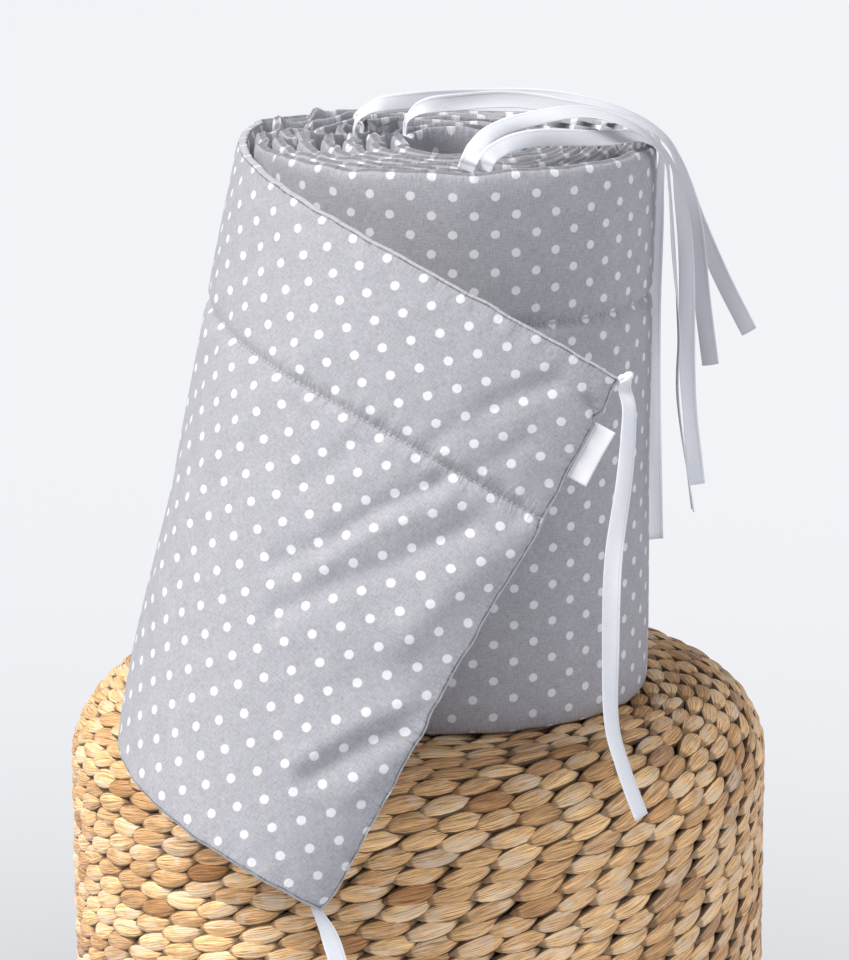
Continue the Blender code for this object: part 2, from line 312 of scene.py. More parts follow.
def make_piece(name, points, faces, material, values=None):
    """A smooth mesh object from arrays, with named values on its points."""
    points = np.asarray(points, dtype=np.float32).reshape(-1, 3)
    mesh = bpy.data.meshes.new(name)
    mesh.from_pydata(points.tolist(), [], [tuple(face) for face in faces])
    for key, numbers in (values or {}).items():
        numbers = np.asarray(numbers, dtype=np.float32)
        kind = "FLOAT" if numbers.ndim == 1 else "FLOAT_VECTOR"
        layer = mesh.attributes.new(key, kind, "POINT")
        layer.data.foreach_set("value" if kind == "FLOAT" else "vector", numbers.ravel())
    mesh.shade_smooth()
    mesh.materials.append(material)
    mesh.update()
    piece = bpy.data.objects.new(name, mesh)
    bpy.context.scene.collection.objects.link(piece)
    return piece


def grid_faces(rows, columns, start=0, wrap=False, flip=False):
    """Quads of a grid whose points run row by row."""
    faces = []
    last = columns if wrap else columns - 1
    for i in range(rows - 1):
        for j in range(last):
            k = (j + 1) % columns
            a = start + i * columns
            b = a + columns
            quad = (a + j, b + j, b + k, a + k)
            faces.append(quad[::-1] if flip else quad)
    return faces


def ring_face(start, count, flip=False):
    """One face over a ring of points."""
    ring = tuple(range(start, start + count))
    return ring[::-1] if flip else ring


def step_up(low, high, value):
    """0 below low, 1 above high and smooth between."""
    t = np.clip((value - low) / (high - low), 0.0, 1.0)
    return t * t * (3.0 - 2.0 * t)


def bell(value, width):
    """1 at 0, fading smoothly on both sides."""
    return np.exp(-((value / width) ** 2))


def waves(place, scale, seed):
    """Smooth, repeatable unevenness of about plus or minus one."""
    picks = np.random.default_rng(seed)
    total = 0.0
    for i in range(5):
        pace = scale * (0.6 + 0.25 * i) * picks.uniform(0.85, 1.15)
        total = total + np.sin(place * pace + picks.uniform(0.0, FULL_WAVE)) / (1.0 + 0.35 * i)
    return total / 2.0


def between(table, share):
    """The value of an evenly spaced table at a share of its length."""
    place = np.clip(share, 0.0, 1.0) * (len(table) - 1)
    return np.interp(place, np.arange(len(table)), table)


def unit(vectors):
    return vectors / np.linalg.norm(vectors, axis=-1, keepdims=True)


def toned(colour, share):
    """The same colour, darker or lighter."""
    return [min(c * share, 1.0) for c in colour]


# ---- shader helpers ----


class Graph:
    """Adds and joins the nodes of one material or node group."""

    def __init__(self, tree):
        self.tree = tree

    def node(self, kind, **settings):
        node = self.tree.nodes.new(kind)
        for key, value in settings.items():
            setattr(node, key, value)
        return node

    def join(self, value, socket):
        if isinstance(value, bpy.types.NodeSocket):
            self.tree.links.new(value, socket)
        elif isinstance(value, (tuple, list)) and socket.type == "RGBA":
            socket.default_value = (*value[:3], 1.0)
        else:
            socket.default_value = value

    def math(self, operation, a, b=0.0, c=0.0, clamp=False):
        node = self.node("ShaderNodeMath", operation=operation, use_clamp=clamp)
        for value, socket in zip((a, b, c), node.inputs):
            self.join(value, socket)
        return node.outputs[0]

    def times(self, a, b):
        return self.math("MULTIPLY", a, b)

    def plus(self, a, b, clamp=False):
        return self.math("ADD", a, b, clamp=clamp)

    def minus(self, a, b):
        return self.math("SUBTRACT", a, b)

    def size(self, a):
        return self.math("ABSOLUTE", a)

    def vector(self, operation, a, b=(0.0, 0.0, 0.0)):
        node = self.node("ShaderNodeVectorMath", operation=operation)
        for value, socket in zip((a, b), node.inputs):
            self.join(value, socket)
        return node.outputs["Value" if operation == "LENGTH" else 0]

    def scale(self, vector, share):
        scaled = self.vector("SCALE", vector)
        self.join(share, scaled.node.inputs["Scale"])
        return scaled

    def mix(self, share, a, b, blend="MIX"):
        node = self.node("ShaderNodeMix", data_type="RGBA", blend_type=blend)
        self.join(share, node.inputs["Factor"])
        self.join(a, node.inputs["A"])
        self.join(b, node.inputs["B"])
        return node.outputs["Result"]

    def ramp(self, value, low, high, to_low=0.0, to_high=1.0):
        """Smooth change from one level to another as the value goes from low to high."""
        node = self.node("ShaderNodeMapRange", interpolation_type="SMOOTHSTEP")
        for number, socket in zip((value, low, high, to_low, to_high), node.inputs):
            self.join(number, socket)
        return node.outputs[0]

    def noise(self, place, scale, detail=2.0, roughness=0.5):
        node = self.node("ShaderNodeTexNoise")
        self.join(place, node.inputs["Vector"])
        self.join(scale, node.inputs["Scale"])
        self.join(detail, node.inputs["Detail"])
        self.join(roughness, node.inputs["Roughness"])
        return node.outputs["Fac"]

    def streaks(self, place, pace, detail=2.0, roughness=0.5):
        """Noise stretched by its own pace on each axis."""
        return self.noise(self.vector("MULTIPLY", place, pace), 1.0, detail, roughness)

    def split(self, vector):
        node = self.node("ShaderNodeSeparateXYZ")
        self.join(vector, node.inputs[0])
        return node.outputs

    def pack(self, x, y, z):
        node = self.node("ShaderNodeCombineXYZ")
        for value, socket in zip((x, y, z), node.inputs):
            self.join(value, socket)
        return node.outputs[0]

    def group(self, name, **values):
        node = self.node("ShaderNodeGroup", node_tree=bpy.data.node_groups[name])
        for key, value in values.items():
            self.join(value, node.inputs[key.replace("_", " ")])
        return node.outputs

    def named(self, name, output="Vector"):
        """A value or a place stored on the mesh."""
        return self.node("ShaderNodeAttribute", attribute_name=name).outputs[output]


def start_group(name, inputs, outputs):
    """A shader node group with named sockets: its graph, inputs and output node."""
    tree = bpy.data.node_groups.new(name, "ShaderNodeTree")
    for label, kind, value in inputs:
        socket = tree.interface.new_socket(label, in_out="INPUT", socket_type=kind)
        if value is not None:
            socket.default_value = value
    for label, kind in outputs:
        tree.interface.new_socket(label, in_out="OUTPUT", socket_type=kind)
    graph = Graph(tree)
    entry = graph.node("NodeGroupInput")
    leave = graph.node("NodeGroupOutput")
    return graph, entry.outputs, leave.inputs


NUMBER = "NodeSocketFloat"
VECTOR = "NodeSocketVector"


def make_thread_group():
    """Woven threads: uneven warp and weft, as a shade and a height."""
    graph, given, out = start_group(
        "woven_threads",
        [("Place", VECTOR, None), ("Thread", NUMBER, 0.0004), ("Slub", NUMBER, 0.5)],
        [("Shade", NUMBER), ("Height", NUMBER)])
    counted = graph.scale(given["Place"], graph.math("DIVIDE", 1.0, given["Thread"]))
    warp = graph.streaks(counted, (0.62, 0.11, 0.0), 2.0, 0.6)
    weft = graph.streaks(counted, (0.11, 0.62, 0.0), 2.0, 0.6)
    cloud = graph.streaks(counted, (0.03, 0.03, 0.0), 3.0, 0.6)
    both = graph.plus(warp, weft)
    streaks = graph.times(graph.minus(both, 1.0), given["Slub"])
    shade = graph.plus(streaks, graph.times(graph.minus(cloud, 0.5), 0.35))
    graph.join(graph.plus(shade, 0.5, clamp=True), out["Shade"])
    x, y, _ = graph.split(graph.vector("MULTIPLY", counted, (3.14159, 3.14159, 0.0)))
    cross = graph.times(graph.math("SINE", x), graph.math("SINE", y))
    graph.join(graph.plus(graph.times(cross, 0.35), streaks), out["Height"])


def make_spot_group():
    """Printed spots in rows, every other row moved by half a repeat."""
    graph, given, out = start_group(
        "round_spots",
        [("Place", VECTOR, None), ("Along", NUMBER, 0.02), ("Up", NUMBER, 0.02),
         ("Size", NUMBER, 0.0044), ("Edge", NUMBER, 0.0004)],
        [("Mask", NUMBER)])
    repeat = graph.pack(given["Along"], given["Up"], 1.0)
    counted = graph.vector("DIVIDE", given["Place"], repeat)
    lengths = []
    for shift in (0.5, 1.0):
        moved = graph.vector("ADD", counted, (shift, shift, 0.0))
        local = graph.vector("SUBTRACT", graph.vector("FRACTION", moved), (0.5, 0.5, 0.0))
        flat = graph.vector("MULTIPLY", graph.vector("MULTIPLY", local, repeat), (1.0, 1.0, 0.0))
        lengths.append(graph.vector("LENGTH", flat))
    near = graph.math("MINIMUM", *lengths)
    spread = graph.noise(given["Place"], 900.0, 1.0)
    near = graph.plus(near, graph.times(graph.minus(spread, 0.5), 0.0006))
    radius = graph.times(given["Size"], 0.5)
    inner = graph.minus(radius, given["Edge"])
    outer = graph.plus(radius, given["Edge"])
    graph.join(graph.ramp(near, inner, outer, 1.0, 0.0), out["Mask"])


def make_stitch_group():
    """A line of stitches at a distance of 0 from the line."""
    graph, given, out = start_group(
        "stitch_line",
        [("Off", NUMBER, 0.0), ("Along", NUMBER, 0.0), ("Stitch", NUMBER, 0.003),
         ("Thick", NUMBER, 0.0006)],
        [("Thread", NUMBER), ("Dip", NUMBER)])
    off = graph.size(given["Off"])
    on_line = graph.ramp(off, given["Thick"], graph.times(given["Thick"], 0.35), 0.0, 1.0)
    share = graph.math("FRACT", graph.math("DIVIDE", given["Along"], given["Stitch"]))
    dash = graph.ramp(graph.size(graph.minus(share, 0.5)), 0.40, 0.30)
    graph.join(graph.times(on_line, dash), out["Thread"])
    wide = graph.times(given["Thick"], 2.2)
    graph.join(graph.ramp(off, wide, 0.0, 0.0, 1.0), out["Dip"])


def make_fibre_group():
    """Dry leaf: fine streaks along it, a few dark creases, and pale worn patches."""
    graph, given, out = start_group(
        "leaf_fibre",
        [("Place", VECTOR, None), ("Tone", NUMBER, 0.5)],
        [("Streak", NUMBER), ("Crease", NUMBER), ("Patch", NUMBER), ("Height", NUMBER)])
    fine = graph.streaks(given["Place"], (60.0, 3000.0, 900.0), 3.0, 0.65)
    broad = graph.streaks(given["Place"], (30.0, 800.0, 700.0))
    patch = graph.streaks(given["Place"], (70.0, 150.0, 800.0))
    graph.join(graph.ramp(fine, 0.30, 0.70), out["Streak"])
    graph.join(graph.ramp(broad, 0.42, 0.30), out["Crease"])
    level = graph.plus(patch, graph.times(graph.minus(given["Tone"], 0.5), 0.25))
    graph.join(graph.ramp(level, 0.55, 0.72), out["Patch"])
    graph.join(graph.plus(graph.times(fine, 0.5), graph.times(broad, 0.9)), out["Height"])


def make_groups():
    make_thread_group()
    make_spot_group()
    make_stitch_group()
    make_fibre_group()


def start_material(name, roughness, **levels):
    """A material's graph and its Principled shader with plain levels set on it."""
    material = bpy.data.materials.new(name)
    material.use_nodes = True
    shader = material.node_tree.nodes["Principled BSDF"]
    shader.inputs["Roughness"].default_value = roughness
    for key, value in levels.items():
        shader.inputs[key.replace("_", " ")].default_value = value
    return material, Graph(material.node_tree), shader


def join_surface(graph, shader, colour, height, distance, strength):
    """Joins a material's colour, and its height as bumps of a size in metres."""
    graph.join(colour, shader.inputs["Base Color"])
    bump = graph.node("ShaderNodeBump")
    for label, value in (("Height", height), ("Distance", distance), ("Strength", strength)):
        graph.join(value, bump.inputs[label])
    graph.join(bump.outputs["Normal"], shader.inputs["Normal"])


def woven(graph, place, thread, slub, colour, low, high):
    """Threads of a plain weave, and the cloth's colour with its darker and lighter threads."""
    threads = graph.group("woven_threads", Place=place, Thread=thread, Slub=slub)
    return threads, graph.mix(threads["Shade"], toned(colour, low), toned(colour, high))


def cotton_material(settings):
    """Pale grey plain weave with printed spots and the stitched seam, with painted shade in the
    seam, the gathers and the edges, and painted highlights on the stitches and the loose end's
    rolled edge.
    """
    material, graph, shader = start_material(
        "spotted_cotton", 0.86, Sheen_Weight=0.18, Sheen_Roughness=0.5, Specular_IOR_Level=0.25)
    cloth = settings.cloth_colour
    place = graph.named("cloth_place")
    printed = graph.named("spot_place")
    s, v, edge = graph.split(place)
    off = graph.minus(v, SEAM_PLACE)
    loose = graph.ramp(s, -0.09, -0.04)
    wound = graph.minus(1.0, loose)

    # woven ground and the printed spots
    threads, ground = woven(graph, place, 0.00042, 0.75, cloth, 0.58, 1.40)
    mask = graph.group("round_spots", Place=printed, Along=settings.spot_along,
                       Up=settings.spot_up, Size=settings.spot_size, Edge=0.00035)["Mask"]
    weave = graph.plus(graph.times(threads["Shade"], 0.16), 0.86)
    ink = graph.scale(tuple(settings.spot_colour), weave)
    colour = graph.mix(graph.times(mask, 0.95), ground, ink)

    # gathers beside the seam and along the edges
    seam = graph.group("stitch_line", Off=off, Along=s, Stitch=0.0031, Thick=0.0006)
    crossed = graph.streaks(place, (430.0, 75.0, 0.0), 2.0, 0.6)
    turned = graph.streaks(place, (75.0, 430.0, 0.0), 2.0, 0.6)
    by_seam = graph.ramp(graph.size(off), 0.0105, 0.0010)
    by_edge = graph.ramp(edge, 0.0110, 0.0005)
    at_end = graph.ramp(s, FLAP_LENGTH - 0.012, FLAP_LENGTH - 0.008)
    at_edge = graph.plus(graph.times(crossed, graph.minus(1.0, at_end)),
                         graph.times(turned, at_end))
    gather = graph.plus(graph.times(graph.minus(crossed, 0.5), by_seam),
                        graph.times(graph.minus(at_edge, 0.5), by_edge))

    # painted shade: a dark line in the stitched crevice inside the loose end's edge, dark slits at
    # the turned-in edges of the turns, the seam's groove and the hollows of the gathers
    line = graph.times(graph.ramp(edge, 0.0008, 0.0013), graph.ramp(edge, 0.0022, 0.0015))
    uneven = graph.ramp(graph.streaks(place, (240.0, 240.0, 0.0)), 0.35, 0.60)
    line = graph.times(line, graph.math("MULTIPLY_ADD", uneven, 0.45, 0.40))
    turned_in_shade = graph.times(graph.ramp(edge, 0.0009, 0.0002), 0.60)
    rim = graph.plus(graph.times(line, loose), graph.times(turned_in_shade, wound))
    dark = graph.math("MAXIMUM", graph.times(seam["Dip"], 0.42), rim)
    dark = graph.plus(dark, graph.times(graph.ramp(gather, -0.04, -0.20), 0.25), clamp=True)
    colour = graph.mix(dark, colour, toned(cloth, 0.30))
    # painted highlight on the raised stitches of the seam
    colour = graph.mix(graph.times(seam["Thread"], 0.75), colour, toned(cloth, 1.25))
    # painted light along the loose end's very edge, where the back face rolls over
    fold = graph.times(graph.ramp(edge, 0.0010, 0.0006), loose)
    colour = graph.mix(graph.times(fold, 0.22), colour, (0.80, 0.80, 0.84))
    lift = graph.plus(threads["Height"], graph.times(seam["Thread"], 1.5))
    lift = graph.plus(lift, graph.times(gather, 9.0))
    join_surface(graph, shader, colour, lift, 0.00012, 0.9)
    return material


def tape_material(settings):
    """White plain-woven tape with close-set selvedges and a stitched fold, with painted light and
    shade along it, a painted highlight on its edges and painted shade in the stitch groove.
    """
    material, graph, shader = start_material(
        "white_tape", 0.80, Sheen_Weight=0.12, Specular_IOR_Level=0.3)
    place = graph.named("cloth_place")
    threads, colour = woven(graph, place, 0.00036, 0.55, settings.tape_colour, 0.90, 1.07)
    s, v, _ = graph.split(place)
    # lighter selvedges: partly the white edge threads, partly a painted highlight on the edge
    # ridges
    selvedge_highlight = graph.ramp(graph.size(v), TAPE_WIDTH * 0.42, TAPE_WIDTH * 0.48)
    # painted light and shade along each tape
    colour = graph.scale(colour, graph.named("tape_painted_light", "Fac"))
    colour = graph.mix(graph.times(selvedge_highlight, 0.55), colour, (0.94, 0.95, 0.97))
    off = graph.minus(v, TAPE_WIDTH * 0.5 - 0.0014)
    stitches = graph.group("stitch_line", Off=off, Along=s, Stitch=0.0024, Thick=0.00025)
    # painted shade in the groove of the stitched fold
    colour = graph.mix(graph.times(stitches["Dip"], 0.34), colour,
                       toned(settings.tape_colour, 0.55))
    lift = graph.minus(threads["Height"], stitches["Dip"])
    join_surface(graph, shader, colour, lift, 0.00010, 0.8)
    return material


def label_material(settings):
    """Plain white satin ribbon, with painted shade in its stitch groove."""
    material, graph, shader = start_material(
        "label_satin", 0.42, Sheen_Weight=0.1, Specular_IOR_Level=0.45)
    place = graph.named("cloth_place")
    threads, colour = woven(graph, place, 0.00022, 0.35, settings.label_colour, 0.93, 1.05)
    s, v, _ = graph.split(place)
    stitches = graph.group("stitch_line", Off=graph.minus(s, 0.0012), Along=v,
                           Stitch=0.0022, Thick=0.0004)
    # painted shade in the stitch groove
    colour = graph.mix(graph.times(stitches["Dip"], 0.35), colour,
                       toned(settings.label_colour, 0.55))
    lift = graph.minus(threads["Height"], stitches["Dip"])
    join_surface(graph, shader, colour, lift, 0.00006, 0.7)
    return material


def straw_material(settings):
    """Dried leaves: each with its own tone, fibres along it and paler wear, and painted shade in
    the gaps where leaves pass under their neighbours.
    """
    material, graph, shader = start_material(
        "straw", 0.55, Sheen_Weight=0.05, Specular_IOR_Level=0.5)
    place = graph.named("fibre_place")
    tone = graph.named("leaf_tone", "Fac")
    grey = graph.named("leaf_grey", "Fac")
    depth = graph.named("leaf_gap_shade", "Fac")
    fibre = graph.group("leaf_fibre", Place=place, Tone=tone)
    colour = graph.mix(tone, tuple(settings.straw_dark), tuple(settings.straw_light))
    colour = graph.mix(graph.times(grey, 0.62), colour, (0.46, 0.32, 0.24))
    light = graph.mix(fibre["Streak"], (0.42, 0.33, 0.25), (1.74, 1.70, 1.62))
    colour = graph.mix(1.0, colour, light, "MULTIPLY")
    colour = graph.mix(graph.times(fibre["Crease"], 0.42), colour, (0.17, 0.09, 0.045))
    colour = graph.mix(graph.times(fibre["Patch"], 0.42), colour, (0.92, 0.80, 0.64))
    # painted shade where a leaf sinks under its neighbours, along its sides and at its tips
    x, y, _ = graph.split(place)
    side = graph.ramp(graph.size(y), 0.0035, 0.0040)
    tip_shade = graph.times(graph.ramp(graph.size(x), 0.0112, 0.0136), 0.60)
    depth = graph.math("MAXIMUM", depth, graph.math("MAXIMUM", side, tip_shade))
    colour = graph.mix(graph.times(depth, 0.90), colour, (0.050, 0.022, 0.010))
    graph.join(graph.ramp(fibre["Streak"], 0.0, 1.0, 0.62, 0.40), shader.inputs["Roughness"])
    join_surface(graph, shader, colour, fibre["Height"], 0.0010, 1.0)
    return material


def backing_material():
    """Straw behind the leaves, painted dark for the shade deep in the gaps between them."""
    material, graph, shader = start_material("straw_backing_painted_shade", 0.85, Specular_IOR_Level=0.2)
    where = graph.node("ShaderNodeTexCoord").outputs["Object"]
    streak = graph.streaks(where, (300.0, 300.0, 900.0), 3.0, 0.6)
    # painted shade seen through the gaps between leaves
    colour = graph.mix(graph.ramp(streak, 0.35, 0.65), (0.045, 0.024, 0.012), (0.14, 0.080, 0.040))
    join_surface(graph, shader, colour, streak, 0.0006, 0.8)
    return material


def floor_material(settings):
    """Smooth pale floor, with a painted soft shadow round the pouf."""
    material, graph, shader = start_material("pale_floor", 0.9, Specular_IOR_Level=0.1)
    where = graph.node("ShaderNodeTexCoord").outputs["Object"]
    cloud = graph.noise(where, 0.6, 2.0)
    colour = graph.mix(cloud, toned(settings.floor_colour, 0.99),
                       toned(settings.floor_colour, 1.01))
    # painted soft shadow round the pouf, a fifth darker near it and fading further out
    away = graph.vector("LENGTH", graph.vector("MULTIPLY", where, (1.0, 1.0, 0.0)))
    shade = graph.times(graph.math("EXPONENT", graph.times(away, -2.5)), 0.80)
    colour = graph.mix(graph.math("MINIMUM", shade, 0.20), colour, (0.0, 0.0, 0.0))
    graph.join(colour, shader.inputs["Base Color"])
    return material


# ---- the padded strip ----


def spiral_point(angle):
    """Middle of the wound strip at angles counted back from the unrolling point."""
    radius = ROLL_RADIUS - TURN_PITCH * angle / math.tau
    depth = (ROLL_RADIUS - radius) / (ROLL_RADIUS - CORE_RADIUS)
    shift = np.maximum(depth, 0.0) ** 1.5
    turn = UNROLL_ANGLE - angle
    x = ROLL_CENTRE[0] + CORE_OFFSET[0] * shift + radius * np.cos(turn)
    y = ROLL_CENTRE[1] + CORE_OFFSET[1] * shift + radius * np.sin(turn)
    z = np.full_like(x, POUF_HEIGHT + ROLL_GAP + STRIP_HEIGHT / 2.0)
    return np.stack((x, y, z), axis=-1)


def spiral_angle(back):
    """Angle at a length of strip counted back from the unrolling point."""
    root = np.sqrt(ROLL_RADIUS**2 - TURN_PITCH * back / math.pi)
    return (ROLL_RADIUS - root) * math.tau / TURN_PITCH


class Strip:
    """The strip's middle surface at any length along it and height up it."""

    def __init__(self):
        point = spiral_point(np.array(0.0))
        along = unit(point - spiral_point(np.array(0.01)))
        up = np.array((0.0, 0.0, 1.0))
        self.step = (FLAP_LENGTH + FLAP_OVERRUN) / FLAP_STEPS
        frames = [(point, along, up)]
        for i in range(FLAP_STEPS):
            share = (i + 0.5) * self.step / FLAP_LENGTH
            bend = up * between(FLAP_CURVE, share) + along * between(FLAP_TWIST, share)
            size = np.linalg.norm(bend)
            half = self.turn(bend / size, size * self.step / 2.0)
            whole = self.turn(bend / size, size * self.step)
            point = point + (half @ along) * self.step
            along = unit(whole @ along)
            up = unit(whole @ up)
            frames.append((point, along, up))
        self.frames = np.array(frames)

    @staticmethod
    def turn(axis, angle):
        """Matrix of a rotation about an axis."""
        x, y, z = axis
        cross = np.array(((0.0, -z, y), (z, 0.0, -x), (-y, x, 0.0)))
        return np.eye(3) + math.sin(angle) * cross + (1.0 - math.cos(angle)) * cross @ cross

    def pick(self, t):
        """Point, direction along and direction up at lengths along the loose end."""
        place = np.clip(t / self.step, 0.0, FLAP_STEPS - 1e-6)
        low = place.astype(int)
        part = (place - low)[..., None, None]
        frames = self.frames[low] * (1.0 - part) + self.frames[low + 1] * part
        return frames[..., 0, :], unit(frames[..., 1, :]), unit(frames[..., 2, :])

    @staticmethod
    def lean(t):
        """How far the line about which the cloth bends leans along the strip."""
        share = t / FLAP_LENGTH
        return between(FLAP_TWIST, share) / between(FLAP_CURVE, share)

    def free(self, s, v):
        """Point, outward normal and direction along, on the loose end."""
        t = s
        for _ in range(30):
            t = 0.5 * t + 0.5 * (s - v * self.lean(t))
            t = np.clip(t, 0.0, FLAP_LENGTH + FLAP_OVERRUN)
        point, along, up = self.pick(t)
        lean = self.lean(t)[..., None]
        missed = (s - (t + v * lean[..., 0]))[..., None]
        point = point + (up + along * lean) * v[..., None] + along * missed
        return point, unit(np.cross(along, up)), along

    def wound(self, s, v):
        """The same on the wound turns, whose lengths are negative."""
        angle = spiral_angle(-s)
        point = spiral_point(angle)
        along = unit(spiral_point(np.maximum(angle - 0.01, 0.0)) - spiral_point(angle + 0.01))
        up = np.zeros_like(along)
        up[..., 2] = 1.0
        return point + up * v[..., None], np.cross(along, up), along

    def surface(self, s, v):
        s, v = np.broadcast_arrays(np.asarray(s, float), np.asarray(v, float))
        on_flap = s > 0.0
        free = self.free(np.maximum(s, 0.0), v)
        wound = self.wound(np.minimum(s, 0.0), v)
        return tuple(np.where(on_flap[..., None], a, b) for a, b in zip(free, wound))


def edge_swell(inside):
    """Share of the full padding at a distance inside the strip's turned edge."""
    return np.sqrt(1.0 - np.exp(-inside / SWELL_REACH)) * (1.0 - SWELL_EDGE) + SWELL_EDGE


def height_stations():
    """Heights up the strip, close together at the edges, the seam and the label's top."""
    half = STRIP_HEIGHT / 2.0
    low = [-half + d for d in EDGE_STEPS]
    high = [half - d for d in reversed(EDGE_STEPS)]
    seam = [SEAM_PLACE - d for d in reversed(SEAM_STEPS)] + [SEAM_PLACE]
    seam += [SEAM_PLACE + d for d in SEAM_STEPS]
    parts = low + seam + high + [LABEL_TOP + d for d in LABEL_STEPS]
    for a, b in ((low[-1], seam[0]), (seam[-1], high[0])):
        parts += list(np.linspace(a, b, int(math.ceil((b - a) / HEIGHT_STEP)) + 1)[1:-1])
    return np.array(sorted(set(np.round(parts, 6))))


def length_stations():
    """Lengths along the wound turns, then along the last turn and the loose end."""
    first = (0.0, 0.0006, 0.0014, 0.0026, 0.0045)
    wound = np.concatenate((first, np.arange(0.009, WOUND_LENGTH - LAST_TURN, WOUND_STEP)))
    last = np.arange(-LAST_TURN, -0.001, LAST_TURN_STEP)
    flap = np.arange(0.0, FLAP_LENGTH - 0.013, FLAP_STEP)
    end = FLAP_LENGTH - np.array(EDGE_STEPS[::-1])
    return wound - WOUND_LENGTH, np.round(np.concatenate((last, flap, end)), 6)


def edge_quads(line, back, flip=False):
    """Quads that join a line of points on the front face to the same line behind."""
    faces = []
    for a, b in zip(line[:-1], line[1:]):
        quad = (a, a + back, b + back, b)
        faces.append(quad[::-1] if flip else quad)
    return faces


def close_sheet(rows, columns):
    """Quads that join two like grids along their four edges."""
    back = rows * columns
    last = back - columns
    faces = edge_quads(range(0, back, columns), back)
    faces += edge_quads(range(columns - 1, back, columns), back, flip=True)
    faces += edge_quads(range(columns), back, flip=True)
    return faces + edge_quads(range(last, back), back)


# ---- operators ----


def settle(piece, *nodes):
    """Sets the piece on the part's one body, in place of the nodes it stands for."""
    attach(piece, "root")
    if nodes:
        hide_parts(*nodes)


# Direction and colour of each light
LIGHTS = {
    "key": ((0.78, 0.40, -1.14), (1.0, 0.99, 0.975)),
    "fill": ((-0.70, 0.45, -0.48), (0.93, 0.94, 1.0)),
}
CAMERA_SIDE = 0.0033
FILL_SPREAD = math.radians(80.0)
FLOOR_SIZE = 30.0


class BUMPER_OT_stage(bpy.types.Operator):
    """Adds the camera, the pale floor and the soft lights"""

    bl_idname = "bumper.stage"
    bl_label = "Stage"

    def execute(self, context):
        settings = context.scene.bumper_stage
        scene = context.scene
        data = bpy.data.cameras.new("camera")
        data.lens = settings.lens
        data.sensor_width = 36.0
        data.clip_end = 100.0
        camera = bpy.data.objects.new("camera", data)
        camera.location = (CAMERA_SIDE, -settings.camera_distance, settings.camera_height)
        camera.rotation_euler = (math.pi / 2.0 - settings.camera_tilt, 0.0, 0.0)
        scene.collection.objects.link(camera)
        scene.camera = camera

        world = bpy.data.worlds.new("soft_sky")
        world.use_nodes = True
        back = world.node_tree.nodes["Background"]
        back.inputs["Color"].default_value = (*settings.sky_colour, 1.0)
        back.inputs["Strength"].default_value = settings.sky_strength
        scene.world = world
        scene.view_settings.view_transform = "Standard"

        self.sun("key", settings.key_strength, settings.key_spread)
        self.sun("fill", settings.fill_strength, FILL_SPREAD)

        corners = [(x * FLOOR_SIZE, y * FLOOR_SIZE, 0.0)
                   for x, y in ((-1, -1), (1, -1), (1, 1), (-1, 1))]
        floor = make_piece("floor", corners, [(0, 1, 2, 3)], floor_material(settings))
        return {"FINISHED"}

    def sun(self, name, strength, spread):
        """A broad, even light that shines in one direction."""
        towards, colour = LIGHTS[name]
        data = bpy.data.lights.new(name, "SUN")
        data.energy = strength
        data.angle = spread
        data.color = colour
        light = bpy.data.objects.new(name, data)
        light.rotation_euler = Vector(towards).to_track_quat("-Z", "Y").to_euler()
        bpy.context.scene.collection.objects.link(light)


